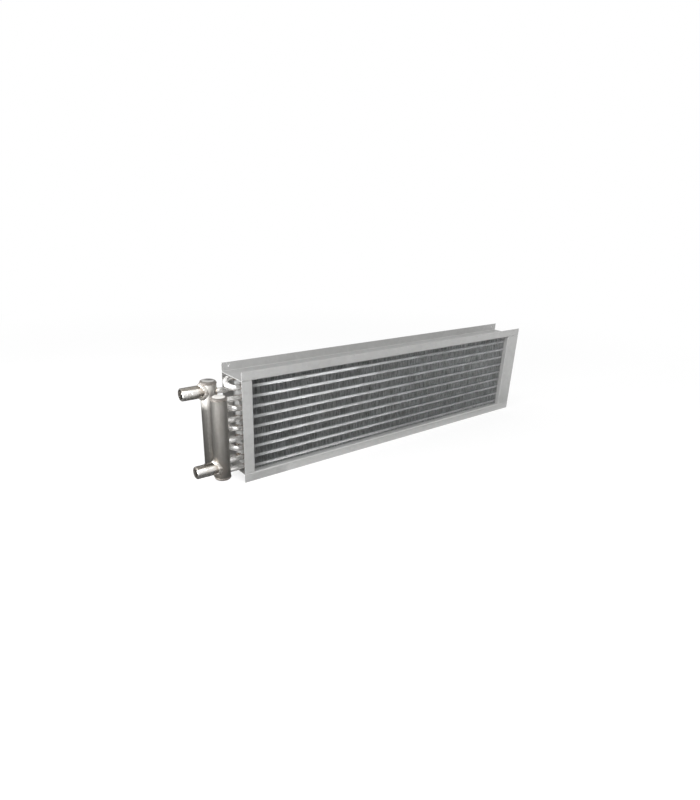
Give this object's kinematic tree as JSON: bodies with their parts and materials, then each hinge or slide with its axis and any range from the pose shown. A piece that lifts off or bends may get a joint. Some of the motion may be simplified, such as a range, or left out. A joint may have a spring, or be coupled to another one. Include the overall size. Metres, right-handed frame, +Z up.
{
  "type": "hot water duct heating coil",
  "caption": "Finned-tube water heating coil for an air duct, in a folded sheet casing with vertical headers and threaded pipe connections at one end.",
  "frame": {"origin": "middle of the whole length and depth, on the ground under the lower flanges", "axes": "+X along the casing away from the headers, +Y from the air inlet face to the air outlet face, +Z up"},
  "size_m": [1.0226, 0.086, 0.245],
  "materials": {
    "casing_sheet": "galvanised, matt",
    "fin": "thin rolled sheet, satin",
    "tube": "bright drawn tube, brazed ends",
    "header_pipe": "plain steel pipe, satin",
    "nipple": "bright steel, pipe thread at its end"
  },
  "bodies": {
    "root": {"casing_top": "casing_sheet", "casing_bottom": "casing_sheet", "tube_sheet_left": "casing_sheet", "tube_sheet_right": "casing_sheet", "fin_pack": "fin", "hairpin_front_1": "tube", "hairpin_front_2": "tube", "hairpin_front_3": "tube", "hairpin_front_4": "tube", "hairpin_rear_1": "tube", "hairpin_rear_2": "tube", "hairpin_rear_3": "tube", "hairpin_rear_4": "tube", "hairpin_bottom": "tube", "return_bend_1": "tube", "return_bend_2": "tube", "return_bend_3": "tube", "return_bend_4": "tube", "feeder_front_1": "tube", "feeder_front_2": "tube", "feeder_front_3": "tube", "feeder_front_4": "tube", "feeder_front_5": "tube", "feeder_rear_1": "tube", "feeder_rear_2": "tube", "feeder_rear_3": "tube", "feeder_rear_4": "tube", "feeder_rear_5": "tube", "header_front": "header_pipe", "header_front_top_cap": "header_pipe", "header_front_bottom_cap": "header_pipe", "header_rear": "header_pipe", "header_rear_top_cap": "header_pipe", "header_rear_bottom_cap": "header_pipe", "nipple_front": "nipple", "nipple_rear": "nipple"}
  },
  "joints": []
}
